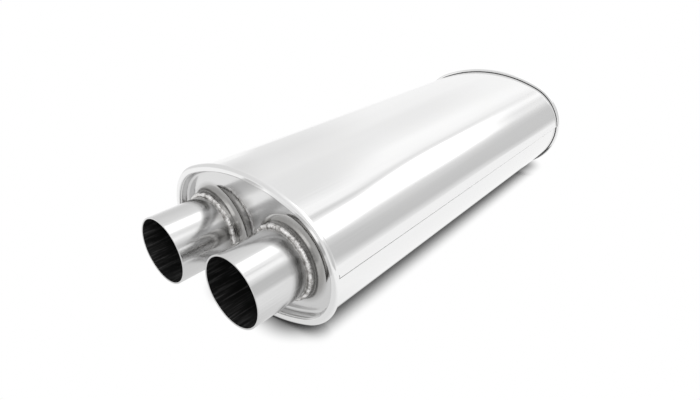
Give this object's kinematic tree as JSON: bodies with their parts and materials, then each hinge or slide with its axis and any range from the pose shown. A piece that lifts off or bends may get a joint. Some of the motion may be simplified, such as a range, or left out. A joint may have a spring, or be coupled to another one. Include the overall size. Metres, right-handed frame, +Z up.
{
  "type": "muffler",
  "caption": "Straight-through oval exhaust muffler of polished steel with rolled rims, recessed end caps and two parallel pipes at each end.",
  "frame": {"origin": "on the ground under the middle of the body, between the two rolled rims", "axes": "+X to the right seen from the front pipes, +Y along the pipes to the rear end, +Z up"},
  "size_m": [0.216, 0.569, 0.1397],
  "materials": {
    "polished_shell": "polished",
    "polished_cap": "polished",
    "polished_pipe": "polished",
    "weld_metal": "satin",
    "core_steel": "satin",
    "steel_wool": "matte",
    "fibre": "matte"
  },
  "bodies": {
    "root": {"outer_shell": "polished_shell", "front_end_cap": "polished_cap", "rear_end_cap": "polished_cap", "front_left_neck": "polished_pipe", "front_right_neck": "polished_pipe", "rear_left_neck": "polished_pipe", "rear_right_neck": "polished_pipe", "front_left_weld": "weld_metal", "front_right_weld": "weld_metal", "rear_left_weld": "weld_metal", "rear_right_weld": "weld_metal", "left_core_tube": "core_steel", "right_core_tube": "core_steel", "front_left_core_tacks": "weld_metal", "front_right_core_tacks": "weld_metal", "rear_left_core_tacks": "weld_metal", "rear_right_core_tacks": "weld_metal", "left_wool_wrap": "steel_wool", "right_wool_wrap": "steel_wool", "left_fibre_packing": "fibre", "right_fibre_packing": "fibre"}
  },
  "joints": []
}
